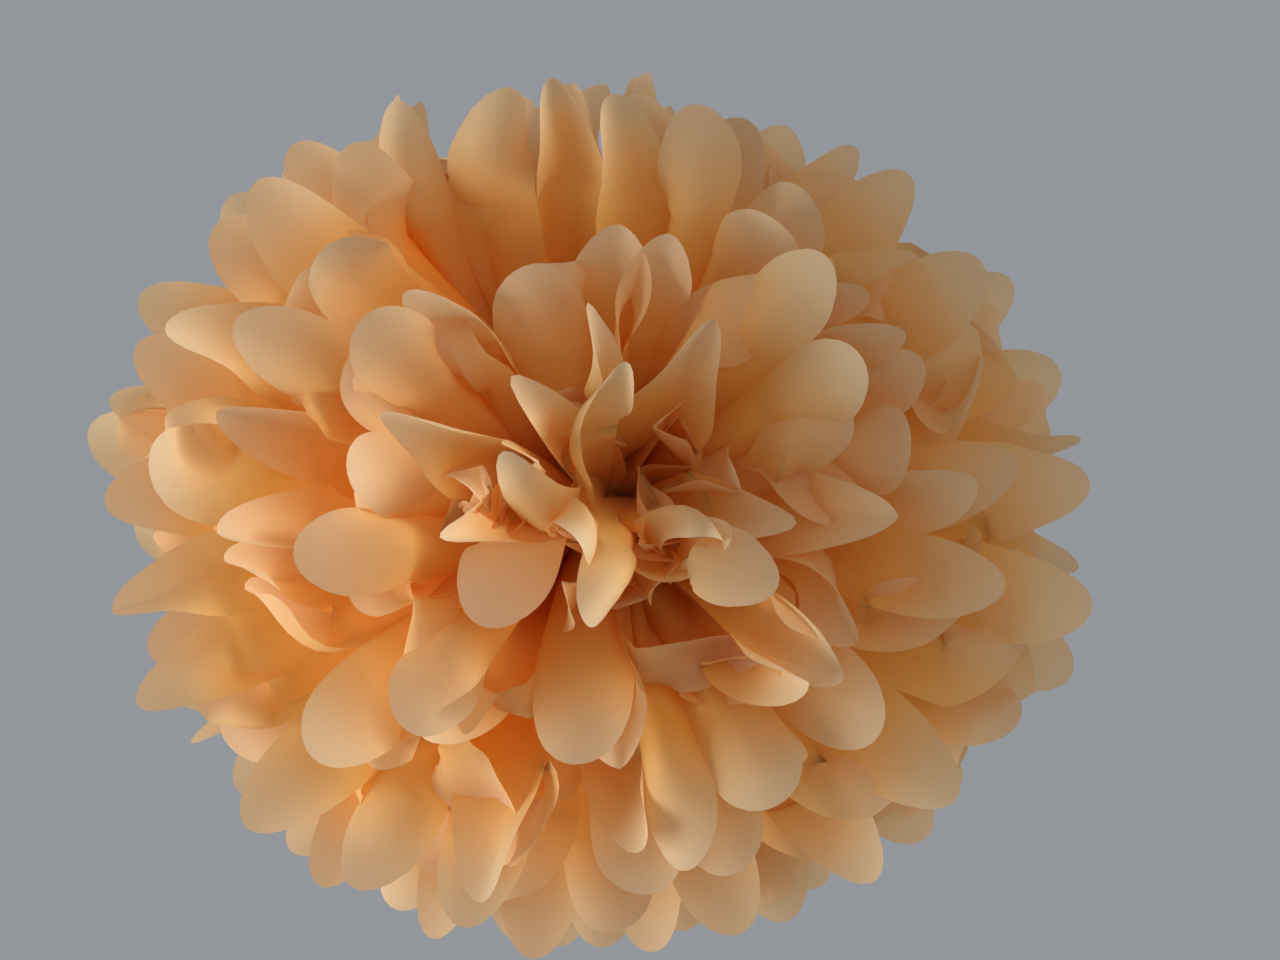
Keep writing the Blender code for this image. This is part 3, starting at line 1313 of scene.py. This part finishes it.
THIRD_PETALS = [
    Petal((568, 112), root=(570, 224), roll=35, spread=0.6),
    Petal((507, 88), root=(526, 210), roll=18, spread=0.8, roundness=2.8, cup=-1),
    Petal((412, 107), root=(394, 222), roll=-25, spread=0.74, cup=-1),
    Petal((628, 116), root=(638, 234), roll=30, spread=0.75),
    Petal((684, 103), root=(690, 222), cup=-1, roundness=2.8),
    Petal((902, 343), slope=18, roll=60, roundness=1.5),
    Petal((919, 445), slope=14, cup=-1, roundness=3.2),
    Petal((968, 493), slope=14, roll=35, crease=0.4),
    Petal((617, 833), slope=18, roll=62, roundness=1.7, spread=0.8),
    Petal((228, 432), slope=16, roll=-35, crease=0.5, spread=0.75),
    Petal((232, 512), slope=16, roll=50, crease=0.4, spread=0.8),
    Petal((464, 888), slope=10, roll=35, crease=0.3, spread=0.85),
    Petal((340, 258), slope=22, roll=10, roundness=3.0),
    *alike(
        (352, 131, 8), (780, 208, 16), (883, 736, 14, 10), (697, 872, 12, 30),
        (240, 315, 12, -15), cup=-1,
    ),
    *alike((913, 365, 16, 25), (1002, 578, 12, -20)),
    *alike((780, 811, 14), (310, 760, 14), cup=-1, roundness=3.0),
]
FOURTH_PETALS = [
    Petal((574, 120), root=(572, 232), roll=30, spread=0.6),
    Petal((518, 104), root=(530, 218), spread=0.76),
    Petal((402, 124), root=(386, 232), roll=-20, spread=0.76),
    Petal((642, 114), root=(654, 230), roll=20, spread=0.8),
    Petal((192, 320), slope=6, roll=50, spread=0.8),
    Petal((142, 465), slope=10, cup=-1, roundness=3.1),
    Petal((113, 596), slope=8, crease=0.8, roll=15, spread=0.62),
    Petal((1018, 486), slope=8, cup=-1, roundness=3.0),
    *alike((257, 185, 6, -15), (139, 690, 2, 20), (464, 905, 0)),
    *alike(
        (255, 830, 6), (362, 887, 6), (808, 187, 10), (978, 268, 8), (1086, 608, 4),
        (950, 800, 6), (741, 881, 10), (648, 900, 8, -20), cup=-1,
    ),
]
EQUATOR_PETALS = [
    Petal((541, 122), root=(548, 240), spread=0.8),
    Petal((228, 748), slope=10, cup=-1, roundness=3.1),
    *alike((300, 160, 3), (220, 232, 8), (151, 653, 8), (1016, 733, 6), cup=-1),
    *alike(
        (144, 350, 8, 15), (113, 495, 2), (325, 867, 2, 50), (430, 924, 4, 15), (533, 936, 0, 30),
        (740, 139, 8, 30), (905, 190, 2), (860, 868, 4, 20), (606, 918, 8, 30),
    ),
    *alike((960, 385, 10), (1106, 490, 0), (731, 926, 0), cup=-1, roundness=3.0),
]
BEHIND_PETALS = [
    Petal((594, 90), root=(569, 203), roll=35, spread=0.6),
    Petal((437, 98), root=(404, 210), roll=-45, spread=0.6),
    Petal((374, 118), root=(350, 226), roll=40, spread=0.8),
    Petal((202, 750), slope=2, roll=45, roundness=1.8),
    Petal((624, 92), root=(628, 205), roll=50, spread=0.7),
    Petal((81, 438), slope=0, cup=-1, roundness=3.0),
    *alike(
        (239, 205, 2, 20), (135, 301, 2, 50), (190, 605, 4, 50), (304, 846, 2, 50), (406, 885, 4),
        (517, 924, 8, -20), (1068, 430, 2, 60),
    ),
    *alike(
        (793, 133, 2), (1013, 290, 2), (1066, 672, 0), (915, 829, 2), (790, 912, 4),
        (650, 934, 0), cup=-1,
    ),
]
BACK_PETALS = [
    Petal((456, 91), root=(424, 205), roll=-50, spread=0.6),
    Petal((133, 525), slope=3, cup=-1, roundness=3.2),
    Petal((613, 98), root=(626, 205), roll=50, spread=0.6),
    Petal((1073, 372), slope=2, cup=-1, roundness=3.0),
    *alike(
        (274, 167, 2, 30), (103, 411, 2, 30), (180, 695, 2), (249, 780, 2), (392, 880, 2, 40),
        (473, 900, 2, 40), (555, 937, 2), (848, 140, 3, 30), (1079, 555, 2, 40),
        (960, 771, 2, 55), (681, 914, 2), (602, 942, 0),
    ),
    *alike((165, 287, 3), (822, 885, 2), cup=-1),
]


@dataclass
class TieWire:
    """The wire round the neck, which keeps its CAD shape and gets its finish here."""

    node: str = "tie_wire"

    def dress(self, finish: bpy.types.Material) -> None:
        """Puts the wire's material on its CAD node."""
        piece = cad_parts[self.node]
        piece.data.materials.clear()
        piece.data.materials.append(finish)
        LOG.info("%s: dressed", self.node)


@dataclass
class PomPom:
    """The whole ball.

    Attributes:
        lower: the petals of the lower sheets, from the pole's to the equator's.
        unseen: the petals of the upper sheets that the photograph doesn't show, which are opened like the
            lower ones.
        upper: the petals of the upper sheets whose ends show round the outline.
    """

    lower: tuple[list[Petal], ...] = (
        POLE_PETALS,
        SECOND_PETALS,
        THIRD_PETALS,
        FOURTH_PETALS,
        EQUATOR_PETALS,
    )
    unseen: tuple[list[Petal], ...] = (POLE_PETALS, SECOND_PETALS, THIRD_PETALS)
    upper: tuple[list[Petal], ...] = (BACK_PETALS, BEHIND_PETALS)

    def sheets(self) -> Iterator[TissueSheet]:
        """The ten sheets, the lower ones first."""
        for number, petals in enumerate(self.lower, 1):
            yield TissueSheet(number, Side.LOWER, petals)
        for number, petals in enumerate(self.unseen, 1):
            yield TissueSheet(number, Side.UPPER, petals, MIRRORED_CAMERA)
        for number, petals in enumerate(self.upper, len(self.unseen) + 1):
            yield TissueSheet(number, Side.UPPER, petals)

    def build(self) -> None:
        """Makes the sheets and dresses the wire."""
        tissue = TissueFinish().build()
        for sheet in self.sheets():
            sheet.build(tissue)
        TieWire().dress(WireFinish().build())


def main() -> None:
    """Builds the scene in order and logs each sheet's share of its flat area."""
    logging.basicConfig(level=logging.INFO, format="%(message)s")
    CAMERA.build()
    PomPom().build()
    Studio().build()
    scene = bpy.context.scene
    scene.cycles.diffuse_bounces = 7
    scene.cycles.transmission_bounces = 10
    scene.cycles.max_bounces = 12
    scene.view_settings.view_transform = "Standard"


if __name__ == "__main__":
    main()
